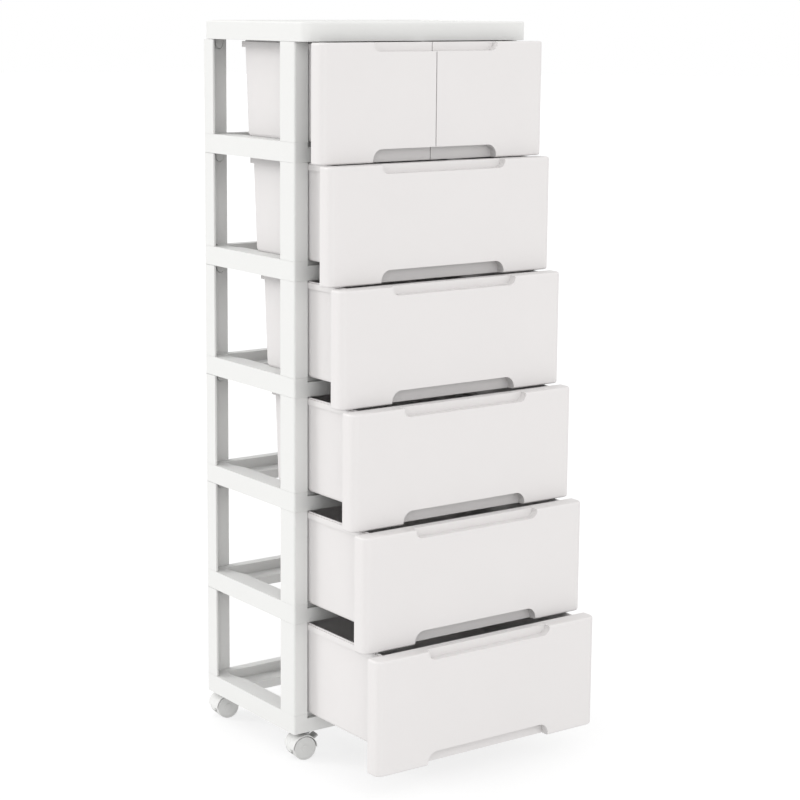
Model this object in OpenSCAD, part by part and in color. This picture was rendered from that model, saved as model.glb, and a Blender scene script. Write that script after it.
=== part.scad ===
// Six-tier drawer tower on casters, in millimetres, +Z up.
// Decks and corner posts stack into an open frame under a lid, and each tier
// carries moulded drawers whose capped fronts lie over the posts.
// Tier 1 is the top one and holds two half-width drawers side by side.

/* [Frame] */
// Width across the outer faces of the posts
frame_w = 408; // [390:1:440]
// Depth from the front faces of the posts to their rear faces
frame_d = 253; // [245:1:290]
// Height from the underside of one deck to the underside of the next
tier_pitch = 172; // [160:1:190]
// Radius of the upright outer corners of decks and posts
frame_corner_r = 3; // [1.5:0.5:4]

/* [Lid] */
// Height of the lid's skirt
lid_h = 28; // [22:1:40]
// How far the lid reaches in front of the posts
lid_overhang = 24; // [18:1:30]
// Thickness of the lid's skirt and top
lid_wall = 3; // [2.5:0.5:4]
// Radius of the lid's upright corners
lid_corner_r = 14; // [10:1:20]
// Radius along the lid's top edge
lid_edge_r = 3; // [1:0.5:4]
// Width of the raised rim round the top
lid_rim_w = 5; // [4:0.5:10]
// Depth of the flat top below its rim
lid_rim_h = 1.2; // [0.5:0.1:1.5]

/* [Decks] */
// Height of a deck
deck_h = 29; // [26:1:34]
// Wall of the deck's moulding
deck_wall = 2.5; // [2:0.1:3]
// Depth of the front rail
front_rail_d = 30; // [24:1:36]
// How far the front of the rail lies below the shelves
rail_drop = 7.4; // [4:0.1:9]
// Depth of the low step along the front of the rail
rail_step_d = 8; // [6:0.5:12]
// Width of the side shelves that the drawers slide on
shelf_w = 32; // [31:0.5:36]
// Width of the shelves beside the rear channel
shelf_rear_w = 24.5; // [20:0.5:26]
// Depth of the top of the rear rail
rear_rail_d = 15.7; // [14:0.1:18]
// Depth of the channel's ledge in front of the rear rail
ledge_d = 32; // [26:1:36]
// Height of the ledge above the deck's underside
ledge_h = 14.2; // [10:0.1:18]
// Length over which the shelves narrow towards the channel
shelf_curve_l = 38; // [34:1:44]
// Corner radius of the opening through the deck
opening_r = 6; // [3:1:12]
// Width of the middle runner under the two half drawers
runner_w = 44; // [36:1:60]
// Height of the rib between the two half drawers
runner_rib_h = 6; // [4:0.5:10]
// Clearance between that rib and the foot of a half drawer
rib_gap = 0.8; // [0.5:0.1:1.2]

/* [Posts] */
// Wall of the L-shaped posts
post_t = 3; // [2.6:0.1:3.4]
// Side flange of a front post
front_side_flange = 37.5; // [30:0.5:44]
// Front flange of a front post
front_cross_flange = 23.5; // [21:0.5:23.5]
// Side flange of a rear post
rear_side_flange = 28; // [22:0.5:34]
// Rear flange of a rear post
rear_cross_flange = 39; // [32:0.5:44]
// Depth of a post's tenon in the deck under it
tenon_h = 8; // [5:0.5:12]
// Wall left outside a tenon
tenon_skin = 1.2; // [1:0.1:1.3]
// Clearance round a tenon
tenon_gap = 0.15; // [0.1:0.05:0.3]
// Width of the tongues that hang from the decks into the posts
tongue_w = 12.8; // [10:0.1:13]
// Length of a tongue
tongue_l = 15; // [12:0.5:20]
// Distance from a tongue's middle to the free edge of the flange
tongue_edge = 13; // [11:0.1:13]
// Depth of the recess that a tongue lies in
tongue_recess = 1.8; // [1:0.1:2]
// How far a tongue stands out of its recess
tongue_proud = 1; // [0.5:0.1:1.5]
// Gap round a tongue
tongue_gap = 0.9; // [0.2:0.1:1]

/* [Drawer fronts] */
// Gap between a front and the outer faces of the posts, each side
front_inset = 1.3; // [0.5:0.1:2]
// Gap between one front and the next above it
front_gap = 1.2; // [1:0.1:4]
// Height of a front's bottom edge above its deck's underside
front_lift = 0.3; // [0.2:0.1:0.9]
// Depth of the returned edges of a front
return_d = 25; // [22:0.5:30]
// Wall of a front
front_wall = 2.5; // [2:0.1:3]
// Radius of the upright corners of a front
front_corner_r = 11.5; // [8:0.5:14]
// Radius along the top and bottom edges of a front
front_edge_r = 3; // [1.5:0.5:4]
// Gap between the two half-width fronts
seam_gap = 1.2; // [0.8:0.1:2]
// Gap between a closed front and the posts
closed_gap = 0.5; // [0.3:0.1:1]
// Width of the finger pull at the bottom edge
pull_w = 225; // [180:1:260]
// Height of the finger pull
pull_h = 19.5; // [16:0.5:24]
// Corner radius of the finger pull
pull_r = 16; // [10:0.5:16]
// Depth of the finger pull behind the face
pull_d = 14; // [10:0.5:17]
// Width of the notch in the top edge
notch_w = 224; // [180:1:260]
// Height of the notch
notch_h = 13; // [10:0.5:16]
// Corner radius of the notch
notch_r = 11; // [8:0.5:13]
// Depth of the notch behind the face
notch_d = 12; // [8:0.5:14]
// Diameter of the bosses that hold a front to its tub
boss_d = 10; // [8:0.5:14]
// Height of the lower bosses above the tub's floor
boss_rise = 26; // [20:1:34]
// Height between the lower and the upper bosses
boss_pitch = 78; // [60:1:84]
// Distance of the outer bosses from the ends of a front
boss_inset = 62; // [50:1:70]

/* [Tubs] */
// Gap between a tub and the shelf that it slides on
slide_gap = 0.3; // [0.2:0.05:0.4]
// Distance from the posts' outer faces to a tub's rim
rim_inset = 24; // [24:0.1:26]
// Wall and floor of a tub
tub_wall = 2; // [1.6:0.1:2.6]
// Inward slope of the side walls, from top to bottom
side_draft = 1; // [0.5:0.1:1.6]
// Inward slope of the rear wall, from top to bottom
rear_draft = 7; // [3:0.5:10]
// Radius of a tub's upright rear corners
tub_corner_r = 9; // [6:0.5:14]
// How far the rim stands out from the side walls
rim_side = 2; // [0.8:0.1:2.4]
// How far the rim stands out from the rear wall
rim_rear = 8; // [4:0.5:10]
// Height of the rim band
rim_h = 8.5; // [4:0.5:10]
// Height of the lip above the rim band
lip_h = 2; // [1:0.5:3]
// Drop from the top of a front to the top of its tub
tub_drop = 0; // [0:0.1:2]
// Gap between a closed tub's rim and the rear rail
tub_rear_gap = 8.5; // [6:0.5:14]
// Gap between a half tub's rim and the wall of its front at the seam
half_rim_gap = 0.5; // [0.3:0.1:2]

/* [Drawers as shown] */
// How far the drawers of tier 1 are pulled out
open_1 = 41; // [0:1:195]
// How far the drawer of tier 2 is pulled out
open_2 = 63.5; // [0:0.5:195]
// How far the drawer of tier 3 is pulled out
open_3 = 92.5; // [0:0.5:195]
// How far the drawer of tier 4 is pulled out
open_4 = 122.5; // [0:0.5:195]
// How far the drawer of tier 5 is pulled out
open_5 = 153.5; // [0:0.5:195]
// How far the drawer of tier 6 is pulled out
open_6 = 188; // [0:1:195]

/* [Casters] */
// Diameter of a wheel
wheel_d = 36; // [30:1:40]
// Width across the twin wheels
wheels_w = 32; // [30:1:36]
// Height from the top of the wheels to the base's underside
caster_head = 7.5; // [7.3:0.1:9]
// Distance from the base's side to a stem
stem_in_x = 29.5; // [26:0.5:34]
// Distance from the base's front or rear to a stem
stem_in_y = 15; // [14:0.5:22]
// Offset of the axle from the stem
trail = 7.5; // [7:0.1:9]
// Angle by which the casters stand turned from straight ahead
caster_turn = 7; // [0:1:30]
// Diameter of a stem
stem_d = 8; // [7:0.5:8.5]
// Length of a stem inside the base
stem_up = 20; // [14:1:23]
// Length of a stem inside the housing
stem_down = 14; // [10:0.5:14]
// Diameter of the collar between the base and the housing
collar_d = 16.5; // [14:0.5:18]
// Thickness of the collar
collar_t = 4.5; // [4:0.1:4.6]
// Diameter of the wheels' axle
axle_d = 5; // [4:0.5:5]
// Radial clearance of an axle, stem or pin in its bore
shaft_gap = 0.06; // [0.03:0.01:0.1]
// Width of the housing's middle web
web_w = 13; // [12:0.5:14]
// Gap between a wheel and the web beside it
wheel_gap = 0.4; // [0.3:0.05:0.5]
// Gap between the wheels and the hood round them
hood_gap = 1.2; // [0.8:0.1:1.4]
// Wall of the hood over the wheels
hood_t = 1.3; // [1.1:0.1:1.4]
// How far the wheels stand out past the hood on each side
hood_in = 0.2; // [0:0.1:2]
// Gap between the collar and the housing
swivel_gap = 0.3; // [0.2:0.05:0.4]
// Diameter of the brake lever's pin
pin_d = 2.4; // [2:0.1:3]
// Width of the brake lever's arm
lever_arm_w = 7; // [5:0.5:8]
// Width of the brake lever's tread
tread_w = 16; // [12:0.5:22]
// Length of the brake lever from its pin
lever_l = 11.5; // [10:0.5:14]
// Thickness of the brake lever
lever_t = 2.6; // [2:0.1:3]
// Angle by which the brake lever points up
lever_rise = 32; // [20:1:40]

/* [Hidden] */
TIERS = [1 : 6];
BASE_TIER = 6;
CORNERS = ["front_left", "front_right", "rear_left", "rear_right"];
DRAWERS = ["1_left", "1_right", "2", "3", "4", "5", "6"];
OPEN = [open_1, open_2, open_3, open_4, open_5, open_6];

// Heights
base_z = wheel_d + caster_head;
post_h = tier_pitch - deck_h;
function deck_z(tier) = base_z + (BASE_TIER - tier) * tier_pitch;
lid_z = deck_z(0);

// Radius inside the corner of a post and inside the shell of a front
inner_r = 1;

// Places along Y, with the posts' front plane at 0
closed_face = -closed_gap - return_d;
ledge_y = frame_d - rear_rail_d - ledge_d;
channel_y = frame_d - rear_rail_d;
shelf_curve_y = channel_y - ledge_d / 2 - shelf_curve_l;
// The origin lies under the middle of the tower as shown, from the farthest
// drawer's face to the wheels of the rear casters
farthest_face = closed_face - max(OPEN);
wheel_reach = (trail + wheel_d / 2) * sin(caster_turn) + wheels_w / 2 * cos(caster_turn);
rear_reach = max(frame_d, frame_d - stem_in_y + wheel_reach);
frame_y = -(rear_reach + farthest_face) / 2;

// How far a tenon stays back from the free edges of its flanges
tenon_end = 2;
// Clearance behind a tongue in its recess
tongue_back = 0.1;

// Corner blocks of the mouldings, which hold tenons, tongues and stems
block_w = rear_cross_flange + deck_wall;
block_d = front_side_flange + deck_wall;
block_rear_d = rear_side_flange + deck_wall;

// Drawer fronts, measured from their own bottom edge and face
front_h = tier_pitch - front_gap;
full_front_w = frame_w - 2 * front_inset;
half_front_w = (full_front_w - seam_gap) / 2;
tub_front_y = return_d - tub_wall;
seam_r = 0.6;
plate_t = 2;

// Tubs, measured from the deck's underside
tub_z0 = deck_h + slide_gap;
tub_z1 = front_lift + front_h - tub_drop;
tub_rear = channel_y - tub_rear_gap;
tub_floor_r = 4;
// How far the foot of a tub stands in from its walls at floor level
foot_in = 2.4;
// Thickness of the slices that a tub's block is hulled from
slice = 0.1;
half_rim = seam_gap / 2 + front_wall + half_rim_gap;
half_foot = half_rim + rim_side + side_draft;

// Casters
wheel_r = wheel_d / 2;
hood_r = wheel_r + hood_gap + hood_t;
boss_top = base_z - collar_t - swivel_gap;
stem_foot = base_z - stem_down - collar_t;
wheel_w = (wheels_w - web_w) / 2 - wheel_gap;
// The brake lever's pin, in front of the axle and above it
pin_x = 15.5;
pin_up = 9.5;
pin_z = wheel_r + pin_up;
slot_gap = 0.5;
lever_slot = lever_arm_w + 2 * slot_gap;
barrel_wall = 1;
lever_barrel = lever_t + 2 * barrel_wall;
tread_gap = 0.7;
tread_r = 2;
hood_wrap = 28;
web_in = 0.1;
seat_gap = 0.5;
tyre_r = 1;
rim_w = 2.2;
dish_d = 0.8;
hub_w = 3;
// Radial gap of the press fit between a wheel and its axle
press_gap = 0.02;

// Overshoot of cutting bodies
e = 1;

white = "#F3F3F1";
warm_white = "#ECE9E8";
wheel_grey = "#C8C8C6";
lever_grey = "#8F8F8D";

// ---------------------------------------------------------------- outlines

// A rectangle with its lower left corner at the origin and four round corners
module round_rect(w, d, r) {
    translate([r, 0]) square([w - 2 * r, d]);
    translate([0, r]) square([w, d - 2 * r]);
    for (x = [r, w - r], y = [r, d - r]) translate([x, y]) circle(r, $fn = 48);
}

// A rectangle whose two lower corners are round, each with its own radius
module round_foot(w, d, r_left, r_right) {
    translate([r_left, 0]) square([w - r_left - r_right, d]);
    translate([0, r_left]) square([w / 2, d - r_left]);
    translate([w / 2, r_right]) square([w / 2, d - r_right]);
    translate([r_left, r_left]) circle(r_left, $fn = 48);
    translate([w - r_right, r_right]) circle(r_right, $fn = 48);
}

// A corner with its outer point rounded, running along +X and +Y
module corner_outline(cross, side, r) {
    translate([r, 0]) square([cross - r, side]);
    translate([0, r]) square([cross, side - r]);
    translate([r, r]) circle(r, $fn = 32);
}

// Plan of an L-shaped post
module post_plan(cross, side) {
    difference() {
        corner_outline(cross, side, frame_corner_r);
        translate([post_t, post_t]) corner_outline(cross, side, inner_r);
    }
}

// Plan of a post's tenon, grown by a clearance where it is a socket
module tenon_plan(cross, side, gap = 0) {
    low = tenon_skin - gap;
    end = tenon_end - gap;
    difference() {
        translate([low, low]) square([cross - low - end, side - low - end]);
        translate([post_t + gap, post_t + gap]) square([cross, side]);
    }
}

// ---------------------------------------------------------------- placing

// Moves the tower so that the origin is under its middle
module in_tower() {
    translate([0, frame_y, 0]) children();
}

// Puts a left front corner's children at any corner of the frame
module at_corner(corner) {
    right = corner == "front_right" || corner == "rear_right";
    rear = corner == "rear_left" || corner == "rear_right";
    translate([right ? frame_w / 2 : -frame_w / 2, rear ? frame_d : 0, 0])
        mirror([right ? 1 : 0, 0, 0])
            mirror([0, rear ? 1 : 0, 0])
                children();
}

function is_rear(corner) = corner == "rear_left" || corner == "rear_right";
function cross_of(corner) = is_rear(corner) ? rear_cross_flange : front_cross_flange;
function side_of(corner) = is_rear(corner) ? rear_side_flange : front_side_flange;
function tongue_x(corner) = cross_of(corner) - tongue_edge;

// ---------------------------------------------------------------- posts

// The outline of a tongue in its flange: square at the top, round at the foot
module tongue_shape(w, l, t) {
    translate([-w / 2, 0, -l + w / 2]) cube([w, t, l - w / 2]);
    translate([0, t, -l + w / 2]) rotate([90, 0, 0]) cylinder(h = t, d = w, $fn = 48);
}

module post(tier, corner) {
    recess_y = post_t - tongue_recess;
    color(white)
    in_tower() translate([0, 0, deck_z(tier) + deck_h]) at_corner(corner) difference() {
        union() {
            linear_extrude(post_h) post_plan(cross_of(corner), side_of(corner));
            translate([0, 0, -tenon_h]) linear_extrude(tenon_h + e)
                tenon_plan(cross_of(corner), side_of(corner));
        }
        translate([tongue_x(corner), recess_y, post_h + e])
            tongue_shape(tongue_w + 2 * tongue_gap, tongue_l + tongue_gap + e, post_t);
    }
}

// Tongues under a deck or the lid, with z = 0 at its underside
module tongues() {
    for (corner = CORNERS) at_corner(corner)
        translate([tongue_x(corner), post_t - tongue_recess + tongue_back, 0])
            tongue_shape(tongue_w, tongue_l, tongue_recess + tongue_proud - tongue_back);
}

// ---------------------------------------------------------------- decks

// Half-width of the shelf's inner edge along the curve, t from 0 to 1
function shelf_edge(t) = shelf_w + (shelf_rear_w - shelf_w) * (1 - cos(180 * t)) / 2;

// Plan of the rear channel, whose sides follow the curved shelves
module channel_plan() {
    steps = 16;
    curve = [for (i = [0 : steps])
        [frame_w / 2 - shelf_edge(i / steps), shelf_curve_y + shelf_curve_l * i / steps]];
    back = [[frame_w / 2 - shelf_rear_w, channel_y], [shelf_rear_w - frame_w / 2, channel_y]];
    mirrored = [for (i = [steps : -1 : 0]) [-curve[i][0], curve[i][1]]];
    polygon(concat(curve, back, mirrored));
}

// The opening through a deck, left whole or split by the middle runner
module through_plan(split) {
    y1 = ledge_y - front_rail_d;
    if (split) {
        w = frame_w / 2 - shelf_w - runner_w / 2;
        for (x = [shelf_w - frame_w / 2, runner_w / 2])
            translate([x, front_rail_d]) round_rect(w, y1, opening_r);
    } else {
        w = frame_w - 2 * shelf_w;
        translate([-w / 2, front_rail_d]) round_rect(w, y1, opening_r);
    }
}

// A cut under a deck, from its underside up to a skin
module under_cut(x, y, w, d, h) {
    translate([x, y, -e]) cube([w, d, h + e]);
}

module deck_body(split) {
    rail_w = frame_w - 2 * block_w;
    step_w = frame_w - 2 * front_cross_flange;
    shelf_cut_w = shelf_rear_w - 2 * deck_wall;
    shelf_cut_d = frame_d - block_d - block_rear_d;
    skin_h = deck_h - deck_wall;
    rear_cut_d = rear_rail_d - 2 * deck_wall;
    difference() {
        translate([-frame_w / 2, 0, 0]) linear_extrude(deck_h)
            round_rect(frame_w, frame_d, frame_corner_r);
        translate([0, 0, -e]) linear_extrude(deck_h + 2 * e) through_plan(split);
        if (split) {
            // The runner stays whole from the front rail to the rear rail
            translate([0, 0, ledge_h]) linear_extrude(deck_h) difference() {
                channel_plan();
                translate([-runner_w / 2, 0]) square([runner_w, frame_d]);
            }
            under_cut(deck_wall - runner_w / 2, front_rail_d, runner_w - 2 * deck_wall,
                ledge_y - front_rail_d, skin_h);
        } else {
            translate([0, 0, ledge_h]) linear_extrude(deck_h) channel_plan();
        }
        // Front rail, low in front and level with the shelves behind
        translate([-step_w / 2, -e, deck_h - rail_drop])
            cube([step_w, rail_step_d + e, rail_drop + e]);
        under_cut(-rail_w / 2, deck_wall, rail_w, front_rail_d - 2 * deck_wall,
            skin_h - rail_drop);
        under_cut(-rail_w / 2, rail_step_d + deck_wall, rail_w,
            front_rail_d - rail_step_d - 2 * deck_wall, skin_h);
        under_cut(-rail_w / 2, channel_y + deck_wall, rail_w, rear_cut_d, skin_h);
        under_cut(-rail_w / 2, ledge_y + deck_wall, rail_w, ledge_d - 2 * deck_wall,
            ledge_h - deck_wall);
        for (x = [deck_wall - frame_w / 2, frame_w / 2 - deck_wall - shelf_cut_w])
            under_cut(x, block_d, shelf_cut_w, shelf_cut_d, skin_h);
        for (corner = CORNERS) at_corner(corner)
            translate([0, 0, deck_h - tenon_h - tenon_gap]) linear_extrude(tenon_h + e)
                tenon_plan(cross_of(corner), side_of(corner), tenon_gap);
    }
    // Rib between the two half drawers
    if (split) {
        rib_w = 2 * (half_foot - rib_gap);
        translate([-rib_w / 2, rail_step_d, deck_h - e])
            cube([rib_w, channel_y - rail_step_d, runner_rib_h + e]);
    }
}

module deck(tier) {
    color(white) in_tower() translate([0, 0, deck_z(tier)]) {
        deck_body(tier == 1);
        tongues();
    }
}

module base() {
    color(white) in_tower() translate([0, 0, base_z]) difference() {
        deck_body(false);
        for (corner = CORNERS) at_corner(corner)
            translate([stem_in_x, stem_in_y, -e])
                cylinder(h = stem_up + e + swivel_gap, d = stem_d + 2 * shaft_gap, $fn = 48);
    }
}

// ---------------------------------------------------------------- lid

// Half section of the lid's edge, from x = 0 in the middle to x = d outside
module lid_section(d, h, r) {
    square([d - r, h]);
    square([d, h - r]);
    translate([d - r, h - r]) circle(r, $fn = 32);
}

// A box whose upright corners and top edge are round
module lid_body(w, d, h, r, r_edge) {
    for (side = [0, 1]) translate([w / 2, d / 2, 0]) mirror([side, 0, 0])
        translate([0, d / 2 - r, 0]) rotate([90, 0, 0]) linear_extrude(d - 2 * r)
            lid_section(w / 2, h, r_edge);
    for (side = [0, 1]) translate([w / 2, d / 2, 0]) mirror([0, side, 0])
        translate([r - w / 2, 0, 0]) rotate([90, 0, 90]) linear_extrude(w - 2 * r)
            lid_section(d / 2, h, r_edge);
    for (x = [r, w - r], y = [r, d - r]) translate([x, y, 0])
        rotate_extrude($fn = 96) lid_section(r, h, r_edge);
}

module lid() {
    lid_d = frame_d + lid_overhang;
    inner_w = frame_w - 2 * lid_wall;
    seat_w = 2 * block_w;
    color(white) in_tower() translate([0, 0, lid_z]) {
        difference() {
            translate([-frame_w / 2, -lid_overhang, 0])
                lid_body(frame_w, lid_d, lid_h, lid_corner_r, lid_edge_r);
            // The flat top inside its rim
            translate([lid_rim_w - frame_w / 2, lid_rim_w - lid_overhang, lid_h - lid_rim_h])
                linear_extrude(lid_h) round_rect(frame_w - 2 * lid_rim_w,
                    lid_d - 2 * lid_rim_w, lid_corner_r - lid_rim_w);
            // Hollow under the top, behind the posts' front plane
            translate([0, 0, -e]) linear_extrude(lid_h - lid_rim_h - lid_wall + e) difference() {
                translate([-inner_w / 2, lid_wall])
                    square([inner_w, frame_d - 2 * lid_wall]);
                for (x = [-frame_w / 2, frame_w / 2]) {
                    translate([x - seat_w / 2, 0]) square([seat_w, block_d]);
                    translate([x - seat_w / 2, frame_d - block_rear_d])
                        square([seat_w, block_rear_d]);
                }
            }
            // Hollow under the overhang
            translate([lid_corner_r - frame_w / 2, lid_wall - lid_overhang, -e])
                cube([frame_w - 2 * lid_corner_r, lid_overhang - lid_wall,
                    lid_h - lid_rim_h - lid_wall + e]);
        }
        tongues();
    }
}

// ---------------------------------------------------------------- drawer fronts

// Half section of a front's rounded edge, from x = 0 inside to x = d outside
module edge_section(d, h, r) {
    square([d - r, h]);
    translate([0, r]) square([d, h - 2 * r]);
    for (z = [r, h - r]) translate([d - r, z]) circle(r, $fn = 32);
}

// Solid of a front, w wide with its left edge at x = 0, face at y = 0.  The edge
// radius runs round an upright corner too, unless that corner is a seam.
module front_solid(w, h, d, r_left, r_right, r_edge) {
    seam_left = r_left <= r_edge;
    seam_right = r_right <= r_edge;
    x_left = seam_left ? 0 : r_left;
    x_right = seam_right ? w : w - r_right;
    intersection() {
        union() {
            translate([x_right, d, 0]) rotate([90, 0, -90]) linear_extrude(x_right - x_left)
                edge_section(d, h, r_edge);
            if (!seam_left) {
                translate([w / 2, d, 0]) mirror([1, 0, 0]) rotate([90, 0, 0])
                    linear_extrude(d - r_left) edge_section(w / 2, h, r_edge);
                translate([r_left, r_left, 0]) rotate_extrude($fn = 64)
                    edge_section(r_left, h, r_edge);
            }
            if (!seam_right) {
                translate([w / 2, d, 0]) rotate([90, 0, 0])
                    linear_extrude(d - r_right) edge_section(w / 2, h, r_edge);
                translate([w - r_right, r_right, 0]) rotate_extrude($fn = 64)
                    edge_section(r_right, h, r_edge);
            }
        }
        // A small radius down the seam
        if (seam_left) linear_extrude(h) round_foot(w + e, d + e, r_left, r_left);
        if (seam_right) translate([-e, 0, 0]) linear_extrude(h)
            round_foot(w + e, d + e, r_right, r_right);
    }
}

// A handle opening seen from the front: round at the top, open below z = 0,
// centred on x = 0, running back from y = 0 to y = d
module handle_cut(w, h, r, d) {
    rotate([90, 0, 0]) translate([0, 0, -d]) linear_extrude(d + e) {
        translate([-w / 2, -e]) square([w, h - r + e]);
        translate([r - w / 2, 0]) square([w - 2 * r, h]);
        for (x = [r - w / 2, w / 2 - r]) translate([x, h - r]) circle(r, $fn = 64);
    }
}

// The front of one drawer.  x0 is its left edge from the tower's middle.
module drawer_front(w, x0, r_left, r_right, boss_x) {
    t = front_wall;
    z_boss = tub_z0 - front_lift + boss_rise;
    difference() {
        union() {
            difference() {
                translate([x0, 0, 0])
                    front_solid(w, front_h, return_d, r_left, r_right, front_edge_r);
                translate([x0 + t, t, t])
                    front_solid(w - 2 * t, front_h - 2 * t, return_d,
                        max(r_left - t, seam_r), max(r_right - t, seam_r), inner_r);
            }
            // Pocket walls behind the pull and the notch, inside the shell
            intersection() {
                translate([x0, 0, 0])
                    front_solid(w, front_h, return_d, r_left, r_right, front_edge_r);
                union() {
                    translate([0, e, 0]) handle_cut(pull_w + 2 * plate_t, pull_h + plate_t,
                        pull_r + plate_t, pull_d + plate_t - e);
                    translate([0, e, front_h]) mirror([0, 0, 1])
                        handle_cut(notch_w + 2 * plate_t, notch_h + plate_t,
                            notch_r + plate_t, notch_d + plate_t - e);
                }
            }
            for (x = boss_x, z = [z_boss, z_boss + boss_pitch])
                translate([x, tub_front_y, z]) rotate([90, 0, 0])
                    cylinder(h = tub_front_y - t + e, d = boss_d, $fn = 32);
        }
        handle_cut(pull_w, pull_h, pull_r, pull_d);
        translate([0, 0, front_h]) mirror([0, 0, 1])
            handle_cut(notch_w, notch_h, notch_r, notch_d);
    }
}

// ---------------------------------------------------------------- tubs

// A drafted block from x0 to x1 at its top, d deep from y = 0, with round
// upright corners of radius r at the rear and a slope round its floor
module tub_block(x0, x1, d, h, r) {
    low_x0 = x0 + side_draft;
    low_x1 = x1 - side_draft;
    low_d = d - rear_draft;
    hull() {
        for (x = [x0 + r, x1 - r])
            translate([x, d - r, h - slice]) cylinder(h = slice, r = r, $fn = 40);
        for (x = [low_x0 + r, low_x1 - r]) {
            translate([x, low_d - r, tub_floor_r]) cylinder(h = slice, r = r, $fn = 40);
            translate([x, low_d - r, 0]) cylinder(h = slice, r = r - foot_in, $fn = 40);
        }
        translate([x0, 0, h - slice]) cube([x1 - x0, slice, slice]);
        translate([low_x0, 0, tub_floor_r]) cube([low_x1 - low_x0, slice, slice]);
        translate([low_x0 + foot_in, 0, 0])
            cube([low_x1 - low_x0 - 2 * foot_in, slice, slice]);
    }
}

// Plan of a rim that stands out from the walls
module rim_plan(x0, x1, d, r) {
    translate([x0, 0]) square([x1 - x0, d - r]);
    translate([x0 + r, 0]) square([x1 - x0 - 2 * r, d]);
    for (x = [x0 + r, x1 - r]) translate([x, d - r]) circle(r, $fn = 48);
}

// A tub with its rim from x0 to x1, its front wall at the rear of the front
module tub(x0, x1) {
    h = tub_z1 - tub_z0;
    d = tub_rear - closed_face - tub_front_y;
    wall_d = d - rim_rear;
    band_z = h - lip_h - rim_h;
    cap_h = front_lift + front_h - front_wall - tub_z0;
    difference() {
        union() {
            tub_block(x0 + rim_side, x1 - rim_side, wall_d, h, tub_corner_r);
            translate([0, tub_wall, band_z]) linear_extrude(rim_h)
                rim_plan(x0, x1, d - tub_wall, tub_corner_r + rim_side);
        }
        translate([0, tub_wall, tub_wall])
            tub_block(x0 + rim_side + tub_wall, x1 - rim_side - tub_wall,
                wall_d - 2 * tub_wall, h - tub_wall + e, tub_corner_r - tub_wall);
        // The front wall ends under the returned top edge of the front
        translate([x0 - e, -e, cap_h]) cube([x1 - x0 + 2 * e, tub_wall + closed_gap + e, h]);
    }
}

// ---------------------------------------------------------------- drawers

function tier_of(name) = search(name[0], "0123456")[0];

// Moves a drawer's children from its closed place to where it is shown
module at_drawer(name, back) {
    tier = tier_of(name);
    in_tower() translate([0, closed_face - OPEN[tier - 1] + back, deck_z(tier)]) children();
}

module drawer_tub(name) {
    side = frame_w / 2 - rim_inset;
    color(warm_white) at_drawer(name, tub_front_y) translate([0, 0, tub_z0]) {
        if (name == "1_left") tub(-side, -half_rim);
        else if (name == "1_right") tub(half_rim, side);
        else tub(-side, side);
    }
}

module drawer_face(name) {
    edge = full_front_w / 2;
    far = edge - boss_inset;
    near = boss_inset / 2;
    color(warm_white) at_drawer(name, 0) translate([0, 0, front_lift]) {
        if (name == "1_left")
            drawer_front(half_front_w, -edge, front_corner_r, seam_r, [-far, -near]);
        else if (name == "1_right")
            drawer_front(half_front_w, seam_gap / 2, seam_r, front_corner_r, [near, far]);
        else
            drawer_front(full_front_w, -edge, front_corner_r, front_corner_r,
                [-far, -near, near, far]);
    }
}

// ---------------------------------------------------------------- casters

// Puts a caster's children under a corner of the base.  The stem is at x = 0,
// the wheels trail to -X and the brake lever points to +X.
module at_caster(corner) {
    right = corner == "front_right" || corner == "rear_right";
    turn = right ? caster_turn : -caster_turn;
    rear = is_rear(corner);
    translate([right ? frame_w / 2 - stem_in_x : stem_in_x - frame_w / 2,
        rear ? frame_d - stem_in_y : stem_in_y, 0])
        rotate([0, 0, turn]) mirror([right ? 1 : 0, 0, 0]) children();
}

module caster_stems() {
    color(lever_grey) in_tower() for (corner = CORNERS) at_caster(corner) {
        translate([0, 0, stem_foot]) cylinder(h = stem_down + collar_t + stem_up,
            d = stem_d, $fn = 48);
        translate([0, 0, base_z - collar_t]) cylinder(h = collar_t, d = collar_d, $fn = 48);
    }
}

// Cylinder along Y, centred, at the wheels' axle
module across(w, d) {
    rotate([90, 0, 0]) cylinder(h = w, d = d, center = true, $fn = 64);
}

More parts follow.
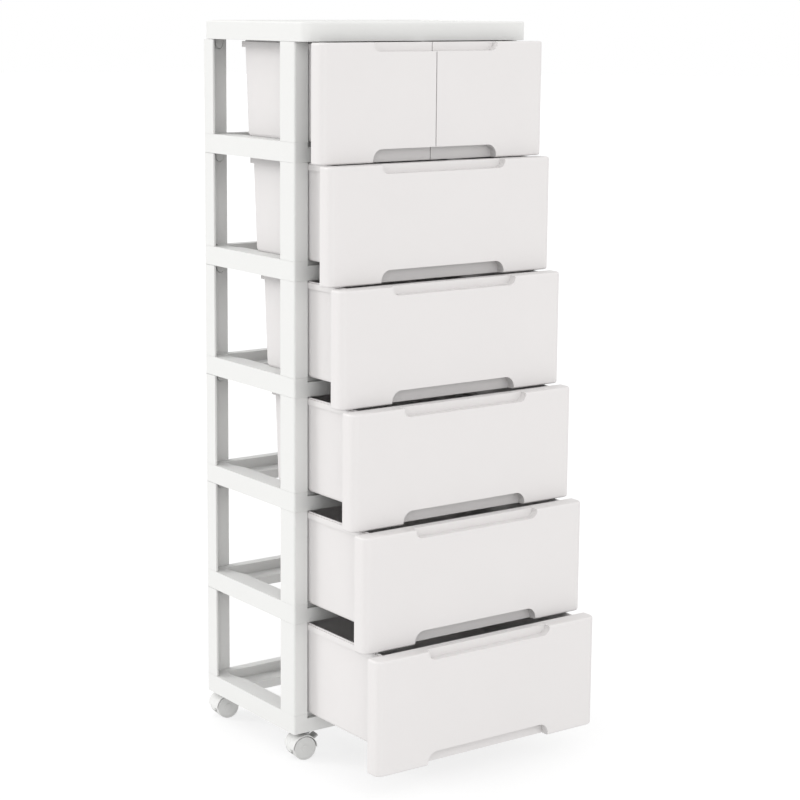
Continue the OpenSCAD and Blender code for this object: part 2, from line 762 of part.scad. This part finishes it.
module caster_housing(corner) {
    hood_w = wheels_w - 2 * hood_in;
    color(white) in_tower() at_caster(corner) difference() {
        union() {
            translate([-trail, 0, wheel_r]) {
                // Hood from just under the axle's level at the back to the front
                difference() {
                    across(hood_w, 2 * hood_r);
                    across(hood_w + 2 * e, 2 * (hood_r - hood_t));
                    translate([-2 * hood_r, -hood_w, -4 * hood_r])
                        cube([4 * hood_r, 2 * hood_w, 4 * hood_r]);
                }
                difference() {
                    across(hood_w, 2 * hood_r);
                    across(hood_w + 2 * e, 2 * (hood_r - hood_t));
                    translate([0, -hood_w, -2 * hood_r])
                        cube([2 * hood_r, 2 * hood_w, 4 * hood_r]);
                    rotate([0, hood_wrap, 0]) translate([-2 * hood_r, -hood_w, -4 * hood_r])
                        cube([4 * hood_r, 2 * hood_w, 4 * hood_r]);
                }
                // Middle web between the wheels
                difference() {
                    across(web_w, 2 * (hood_r - web_in));
                    translate([-2 * hood_r, -web_w, -3 * hood_r])
                        cube([4 * hood_r, 2 * web_w, 3 * hood_r - axle_d]);
                }
            }
            translate([0, 0, stem_foot - e]) cylinder(h = boss_top - stem_foot + e,
                d = web_w, $fn = 48);
        }
        // Seat of the collar
        translate([0, 0, boss_top]) cylinder(h = hood_r, d = collar_d + 2 * seat_gap, $fn = 48);
        // Bores for the stem and the axle
        translate([0, 0, stem_foot - swivel_gap])
            cylinder(h = base_z, d = stem_d + 2 * shaft_gap, $fn = 48);
        translate([-trail, 0, wheel_r]) across(wheels_w, axle_d + 2 * shaft_gap);
        // Slot and pin bore for the brake lever
        translate([pin_x - trail - lever_barrel / 2 - slot_gap, -lever_slot / 2,
            pin_z - lever_barrel / 2 - slot_gap])
                cube([2 * hood_r, lever_slot, 2 * hood_r]);
        translate([pin_x - trail, 0, pin_z]) across(web_w + 2 * e, pin_d + 2 * shaft_gap);
    }
}

// Half section of one wheel, along +X from the axle, with its outer face up
module wheel_section() {
    hub_r = axle_d / 2 + hub_w;
    difference() {
        union() {
            square([wheel_r - tyre_r, wheel_w]);
            translate([0, tyre_r]) square([wheel_r, wheel_w - 2 * tyre_r]);
            for (y = [tyre_r, wheel_w - tyre_r])
                translate([wheel_r - tyre_r, y]) circle(tyre_r, $fn = 24);
        }
        translate([hub_r, wheel_w - dish_d]) square([wheel_r - rim_w - hub_r, dish_d + e]);
        // Blind bore for the axle
        translate([0, -e]) square([axle_d / 2 + press_gap, wheel_w / 2 + e + press_gap]);
    }
}

module caster_wheels(corner) {
    color(wheel_grey) in_tower() at_caster(corner) translate([-trail, 0, wheel_r]) {
        for (side = [-1, 1]) rotate([-90 * side, 0, 0])
            translate([0, 0, web_w / 2 + wheel_gap])
                rotate_extrude($fn = 64) wheel_section();
        across(wheels_w - wheel_w, axle_d);
    }
}

module caster_brake(corner) {
    tread_x = hood_r + tread_gap - norm([pin_x, pin_up]);
    color(lever_grey) in_tower() at_caster(corner) translate([pin_x - trail, 0, pin_z]) {
        // Barrel on its pin, a little wider than the arm
        across(web_w - 2 * slot_gap, pin_d);
        across(lever_slot - slot_gap, lever_barrel);
        // Arm and tread in one plate, from inside the barrel
        rotate([0, -lever_rise, 0]) translate([0, 0, -lever_t / 2]) linear_extrude(lever_t) {
            translate([-lever_t / 2, -lever_arm_w / 2])
                square([tread_x + tread_r + lever_t / 2, lever_arm_w]);
            translate([tread_x, -tread_w / 2]) round_rect(lever_l - tread_x, tread_w, tread_r);
        }
    }
}

// ---------------------------------------------------------------- drawing

lid();
for (t = [1 : 5]) deck(t);
base();
for (t = TIERS, c = CORNERS)
    post(t, c);
for (d = DRAWERS) drawer_tub(d);
for (d = DRAWERS) drawer_face(d);
caster_stems();
for (c = CORNERS) caster_housing(c);
for (c = CORNERS) caster_wheels(c);
for (c = CORNERS) caster_brake(c);
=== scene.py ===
"""A six-tier drawer tower of white moulded plastic on four twin-wheel casters."""
import math

import bpy
from mathutils import Matrix, Vector


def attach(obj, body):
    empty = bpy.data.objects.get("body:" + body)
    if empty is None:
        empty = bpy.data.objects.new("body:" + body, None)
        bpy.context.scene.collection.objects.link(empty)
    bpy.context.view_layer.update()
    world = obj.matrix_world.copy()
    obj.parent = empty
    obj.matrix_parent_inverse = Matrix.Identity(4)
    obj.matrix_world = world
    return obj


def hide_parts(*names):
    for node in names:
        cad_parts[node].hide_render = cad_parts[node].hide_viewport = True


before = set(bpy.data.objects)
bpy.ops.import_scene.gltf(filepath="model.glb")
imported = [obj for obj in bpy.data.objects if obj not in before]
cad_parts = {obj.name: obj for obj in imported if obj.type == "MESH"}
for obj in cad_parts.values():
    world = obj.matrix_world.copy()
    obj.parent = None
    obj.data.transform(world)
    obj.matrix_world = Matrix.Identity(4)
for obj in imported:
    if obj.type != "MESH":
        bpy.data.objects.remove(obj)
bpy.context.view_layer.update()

# ---------------------------------------------------------------- decks and base
# Five decks and a base, each one moulding of white polypropylene: a ring of
# rails and shelves, hollow underneath.  They stack on the posts, whose tenons
# they take from below, and hang their tongues into the posts beneath.

MM = 0.001
DECKS = ["deck_1", "deck_2", "deck_3", "deck_4", "deck_5", "base"]
DECK_EDGE = 0.7 * MM
# Points closer than SAME_POINT are merged, and faces that turn less than
# SAME_FACE become one
SAME_POINT, SAME_FACE = 0.002 * MM, math.radians(0.3)
# Edges sharper than SHARP_EDGE get their radius, and turns of less than
# SMOOTH_TURN are shaded round
SHARP_EDGE, SMOOTH_TURN = math.radians(40), math.radians(30)
EDGE_STEPS = 2
# How far the flat faces outweigh their radii in the shading
FLAT_WEIGHT = 90


def linear(hex_colour):
    """Linear RGBA of an sRGB hex value."""
    parts = [int(hex_colour[i:i + 2], 16) / 255 for i in (1, 3, 5)]
    return [c / 12.92 if c <= 0.04045 else ((c + 0.055) / 1.055) ** 2.4 for c in parts] + [1]


def add_node(tree, kind, inputs=None, links=None, **settings):
    """Adds a shader node with its settings, values and incoming links."""
    node = tree.nodes.new(kind)
    for name, value in settings.items():
        setattr(node, name, value)
    for name, value in (inputs or {}).items():
        node.inputs[name].default_value = value
    for name, socket in (links or {}).items():
        tree.links.new(socket, node.inputs[name])
    return node


# A noise texture keeps almost wholly between these values
NOISE_LOW, NOISE_HIGH = 0.3, 0.7
# How strongly the sink marks and the grain are drawn
SINK_STRENGTH, GRAIN_STRENGTH = 0.6, 0.5
# That of polypropylene, which nylon is close enough to share
PLASTIC_IOR = 1.49


def moulded_plastic(name, light, shade, gloss, grain, grain_depth, patch=90, sink=0.10):
    """Injection-moulded plastic: two close tones in broad flow patches, a gloss
    that varies with them, the fine grain of the mould and shallow sink marks.
    Sizes are in millimetres."""
    material = bpy.data.materials.new(name)
    material.use_nodes = True
    tree = material.node_tree
    skin = tree.nodes["Principled BSDF"]
    place = add_node(tree, "ShaderNodeTexCoord").outputs["Object"]
    flow = add_node(tree, "ShaderNodeTexNoise", {"Scale": 1000 / patch, "Detail": 3.0},
                    {"Vector": place}).outputs["Fac"]
    tone = add_node(tree, "ShaderNodeMix", {"A": linear(light), "B": linear(shade)},
                    {"Factor": flow}, data_type="RGBA")
    rough = add_node(tree, "ShaderNodeMapRange",
                     {"From Min": NOISE_LOW, "From Max": NOISE_HIGH,
                      "To Min": gloss[0], "To Max": gloss[1]},
                     {"Value": flow})
    fine = add_node(tree, "ShaderNodeTexNoise", {"Scale": 1000 / grain, "Detail": 2.0},
                    {"Vector": place}).outputs["Fac"]
    hollows = add_node(tree, "ShaderNodeBump",
                       {"Strength": SINK_STRENGTH, "Distance": sink * MM},
                       {"Height": flow})
    grained = add_node(tree, "ShaderNodeBump",
                       {"Strength": GRAIN_STRENGTH, "Distance": grain_depth * MM},
                       {"Height": fine, "Normal": hollows.outputs["Normal"]})
    tree.links.new(tone.outputs["Result"], skin.inputs["Base Color"])
    tree.links.new(rough.outputs["Result"], skin.inputs["Roughness"])
    tree.links.new(grained.outputs["Normal"], skin.inputs["Normal"])
    skin.inputs["IOR"].default_value = PLASTIC_IOR
    return material


def select_only(piece):
    """Makes one piece the only selected object, and the active one."""
    bpy.ops.object.select_all(action="DESELECT")
    piece.select_set(True)
    bpy.context.view_layer.objects.active = piece


def moulding_of(node):
    """A copy of a CAD node's shape, its loose triangles joined into whole faces.
    It is left selected."""
    piece = bpy.data.objects.new(node + "_moulding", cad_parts[node].data.copy())
    bpy.context.scene.collection.objects.link(piece)
    select_only(piece)
    bpy.ops.object.mode_set(mode="EDIT")
    bpy.ops.mesh.select_all(action="SELECT")
    bpy.ops.mesh.remove_doubles(threshold=SAME_POINT)
    bpy.ops.mesh.dissolve_limited(angle_limit=SAME_FACE)
    bpy.ops.object.mode_set(mode="OBJECT")
    return piece


def finish_moulding(piece, node, edge, material, body):
    """Gives a selected moulding the small radius that a mould leaves along every
    edge, and its plastic, and puts it in the place of its CAD node."""
    bevel = piece.modifiers.new("edge", "BEVEL")
    bevel.width = edge
    bevel.segments = EDGE_STEPS
    bevel.limit_method = "ANGLE"
    bevel.angle_limit = SHARP_EDGE
    bpy.ops.object.modifier_apply(modifier=bevel.name)
    bpy.ops.object.shade_smooth_by_angle(angle=SMOOTH_TURN)
    flats = piece.modifiers.new("flats", "WEIGHTED_NORMAL")
    flats.keep_sharp = True
    flats.weight = FLAT_WEIGHT
    bpy.ops.object.modifier_apply(modifier=flats.name)
    piece.data.materials.clear()
    piece.data.materials.append(material)
    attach(piece, body)
    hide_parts(node)


def soft_edged(node, edge, material, body):
    """The moulding that stands for a CAD node: the same shape with soft edges."""
    finish_moulding(moulding_of(node), node, edge, material, body)


# Polypropylene out of a spark-eroded mould: a soft satin white with no clear
# reflections.  The real grain is about 0.1 mm and is drawn at 2 mm to show.
frame_polypropylene = moulded_plastic("polypropylene_satin_white", "#F3F3F1", "#F0F0EE",
                                      gloss=(0.42, 0.52), grain=2.0, grain_depth=0.03)

for deck in DECKS:
    soft_edged(deck, DECK_EDGE, frame_polypropylene, "frame")

# ---------------------------------------------------------------- posts
# Twenty-four L-shaped posts, one at each corner of each tier, moulded in the
# same polypropylene as the decks.  A tenon at the foot plugs into the deck
# below and a round-ended recess at the head takes the tongue of the deck above.

TIERS = [1, 2, 3, 4, 5, 6]
CORNERS = ["front_left", "front_right", "rear_left", "rear_right"]
POST_EDGE = 0.5 * MM
# Length of the tenon below the shoulder that stands on the deck
TENON_H = 8 * MM
# Open line left between a post and the deck it stands on or the deck above,
# which the rear posts leave wider
FOOT_SEAM, HEAD_SEAM, REAR_HEAD_SEAM = 0.2 * MM, 0.2 * MM, 0.5 * MM
# A face is level when its normal is at least this upright, and at a height
# when its middle is no further off than this
UPRIGHT, AT_HEIGHT = 0.99, 0.05 * MM


def move_level_faces(piece, height, rise):
    """Moves the level faces at one height of a selected piece up or down."""
    bpy.ops.object.mode_set(mode="EDIT")
    bpy.ops.mesh.select_mode(type="FACE")
    bpy.ops.mesh.select_all(action="DESELECT")
    bpy.ops.object.mode_set(mode="OBJECT")
    for face in piece.data.polygons:
        face.select = (abs(face.normal.z) > UPRIGHT
                       and abs(face.center.z - height) < AT_HEIGHT)
    bpy.ops.object.mode_set(mode="EDIT")
    bpy.ops.transform.translate(value=(0, 0, rise))
    bpy.ops.object.mode_set(mode="OBJECT")


for tier in TIERS:
    for corner in CORNERS:
        node = f"post_{tier}_{corner}"
        post = moulding_of(node)
        heights = [point.co.z for point in post.data.vertices]
        shoulder, head = min(heights) + TENON_H, max(heights)
        move_level_faces(post, shoulder, FOOT_SEAM)
        move_level_faces(post, head, -(REAR_HEAD_SEAM if "rear" in corner else HEAD_SEAM))
        finish_moulding(post, node, POST_EDGE, frame_polypropylene, "frame")

# ---------------------------------------------------------------- lid
# The lid is a shallow box of the same polypropylene, pressed onto the four top
# posts.  A thin rim stands round its flat top, and it reaches over the fronts
# of the drawers when they are shut.

LID_EDGE = 0.5 * MM

soft_edged("lid", LID_EDGE, frame_polypropylene, "frame")

# ---------------------------------------------------------------- drawer fronts
# Each drawer has a capped front, a moulding of its own with edges returned
# over the posts.  It has a finger pull at the bottom and a notch at the top,
# and clips onto the bosses of its tub.

DRAWERS = ["1_left", "1_right", "2", "3", "4", "5", "6"]
FRONT_EDGE = 0.8 * MM

# Polypropylene from a polished mould: a warmer white than the frame, with a
# closer sheen.
front_polypropylene = moulded_plastic("polypropylene_polished_warm_white", "#EFECEB", "#ECE9E8",
                                      gloss=(0.30, 0.40), grain=1.6, grain_depth=0.012)

for drawer in DRAWERS:
    soft_edged(f"drawer_{drawer}_front", FRONT_EDGE, front_polypropylene,
               f"drawer_{drawer}")

# ---------------------------------------------------------------- drawer tubs
# The tubs are thin-walled open boxes with drafted sides and a rim that slides
# between the shelves.  They are the same warm white polypropylene, with the
# duller skin of a thin fast moulding.

TUB_EDGE = 0.4 * MM

tub_polypropylene = moulded_plastic("polypropylene_thin_warm_white", "#F2EFEE", "#EEEBEA",
                                    gloss=(0.40, 0.50), grain=1.8, grain_depth=0.02, patch=60)

for drawer in DRAWERS:
    soft_edged(f"drawer_{drawer}_tub", TUB_EDGE, tub_polypropylene,
               f"drawer_{drawer}")

# ---------------------------------------------------------------- casters
# Four twin-wheel casters plug into the base with steel stems.  A white hood
# covers the wheels from the front over the top to the back, the two wheels
# turn on one axle, and a grey toe lever brakes them.

HOOD_EDGE = 0.25 * MM
WHEEL_EDGE = 0.2 * MM
LEVER_EDGE = 0.4 * MM
STEM_EDGE = 0.4 * MM

# Nylon hoods: white and glossy, as they come from a polished mould.
hood_nylon = moulded_plastic("nylon_glossy_white", "#F4F4F2", "#EFEFED",
                             gloss=(0.25, 0.32), grain=1.0, grain_depth=0.008, patch=20)
# Nylon wheels: light grey, a little duller where they roll.
wheel_nylon = moulded_plastic("nylon_satin_light_grey", "#E6E6E4", "#E0E0DE",
                              gloss=(0.32, 0.42), grain=1.0, grain_depth=0.012, patch=15)
# Nylon brake levers: grey, with a matt grain for the shoe to grip.
lever_nylon = moulded_plastic("nylon_matt_mid_grey", "#D6D6D4", "#D0D0CE",
                              gloss=(0.5, 0.6), grain=1.0, grain_depth=0.03, patch=15)

for corner in CORNERS:
    soft_edged(f"caster_{corner}_housing", HOOD_EDGE, hood_nylon,
               f"caster_{corner}")
    soft_edged(f"caster_{corner}_wheels", WHEEL_EDGE, wheel_nylon,
               f"caster_{corner}_wheel_pair")
    soft_edged(f"caster_{corner}_brake", LEVER_EDGE, lever_nylon,
               f"caster_{corner}_brake_lever")

# The stems are turned steel with a thin coat of bright zinc, whose gloss varies
# over spangles of about 2.5 mm.
SPANGLE = 2.5
ZINC_GLOSS = (0.25, 0.45)
stem_zinc = bpy.data.materials.new("steel_bright_zinc")
stem_zinc.use_nodes = True
zinc = stem_zinc.node_tree
zinc_skin = zinc.nodes["Principled BSDF"]
zinc_place = add_node(zinc, "ShaderNodeTexCoord").outputs["Object"]
zinc_spangle = add_node(zinc, "ShaderNodeTexNoise", {"Scale": 1000 / SPANGLE, "Detail": 4.0},
                        {"Vector": zinc_place}).outputs["Fac"]
zinc_rough = add_node(zinc, "ShaderNodeMapRange",
                      {"To Min": ZINC_GLOSS[0], "To Max": ZINC_GLOSS[1]},
                      {"Value": zinc_spangle})
zinc.links.new(zinc_rough.outputs["Result"], zinc_skin.inputs["Roughness"])
zinc_skin.inputs["Base Color"].default_value = linear("#83868A")
zinc_skin.inputs["Metallic"].default_value = 1.0
soft_edged("caster_stems", STEM_EDGE, stem_zinc, "frame")

# ---------------------------------------------------------------- studio
# A white sweep under the tower, broad soft light from the rear left and from
# the front, an even glow from the room, and the camera.

FLOOR_R, FLOOR_SIDES = 30.0, 96
bpy.ops.object.select_all(action="DESELECT")
bpy.ops.mesh.primitive_circle_add(vertices=FLOOR_SIDES, radius=FLOOR_R, fill_type="NGON")
floor = bpy.context.object
floor.name = "studio_floor"
# The card is lit from behind: it lights the tower at CARD_GLOW and is seen at
# CARD_SEEN, so that it is plain white but for the shadow
CARD_GLOW, CARD_SEEN = 0.46, 0.71
sweep_card = bpy.data.materials.new("backlit_card_white")
sweep_card.use_nodes = True
card = sweep_card.node_tree
card_skin = card.nodes["Principled BSDF"]
card_skin.inputs["Base Color"].default_value = linear("#9F9F9F")
card_skin.inputs["Roughness"].default_value = 0.8
card_skin.inputs["Specular IOR Level"].default_value = 0.2
card_skin.inputs["Emission Color"].default_value = linear("#FFFFFF")
card_ray = add_node(card, "ShaderNodeLightPath").outputs["Is Camera Ray"]
glow = add_node(card, "ShaderNodeMapRange", {"To Min": CARD_GLOW, "To Max": CARD_SEEN},
                {"Value": card_ray})
card.links.new(glow.outputs["Result"], card_skin.inputs["Emission Strength"])
floor.data.materials.append(sweep_card)

scene = bpy.context.scene
world = bpy.data.worlds.new("studio_room")
scene.world = world
world.use_nodes = True
# The walls of the room light the tower at ROOM_LIGHT and are seen as plain white
ROOM_LIGHT = 0.83
room = world.node_tree
seen = add_node(room, "ShaderNodeLightPath").outputs["Is Camera Ray"]
level = add_node(room, "ShaderNodeMapRange", {"To Min": ROOM_LIGHT, "To Max": 1.0},
                 {"Value": seen})
room.nodes["Background"].inputs["Color"].default_value = linear("#FFFFFF")
room.links.new(level.outputs["Result"], room.nodes["Background"].inputs["Strength"])

# Softboxes far from the tower: name, where it shines from, strength, and its
# width in degrees
SOFTBOXES = [("softbox_left", (-0.7, 0.65, 0.45), 0.75, 20),
             ("softbox_front", (-0.25, -0.85, 0.5), 0.57, 60)]
for box_name, shines_from, energy, width in SOFTBOXES:
    lamp = bpy.data.lights.new(box_name, "SUN")
    lamp.energy = energy
    lamp.angle = math.radians(width)
    softbox = bpy.data.objects.new(box_name, lamp)
    softbox.matrix_world = Vector(shines_from).to_track_quat("Z", "Y").to_matrix().to_4x4()
    scene.collection.objects.link(softbox)
# One bounce between the white walls keeps the gaps between the pieces dark
scene.cycles.diffuse_bounces = 1

# Camera: 2.5 m in front of the tower and 1.8 m to its left, at lid height
CAMERA_AT = Vector((-1.8063, -2.4754, 1.1302))
YAW, PITCH, ROLL = math.radians(34.79), math.radians(9.82), math.radians(0.276)
# Focal length and width of the sensor in millimetres, and how far it sees in metres
LENS, SENSOR_W, FARTHEST = 91.85, 36.0, 200.0
SHIFT = (0.06, -0.055)
camera_data = bpy.data.cameras.new("camera")
camera_data.lens = LENS
camera_data.sensor_width = SENSOR_W
camera_data.shift_x, camera_data.shift_y = SHIFT
camera_data.clip_end = FARTHEST
camera = bpy.data.objects.new("camera", camera_data)
camera.matrix_world = (Matrix.Translation(CAMERA_AT)
                       @ Matrix.Rotation(-YAW, 4, "Z")
                       @ Matrix.Rotation(math.pi / 2 - PITCH, 4, "X")
                       @ Matrix.Rotation(ROLL, 4, "Z"))
scene.collection.objects.link(camera)
scene.camera = camera
scene.view_settings.view_transform = "Standard"
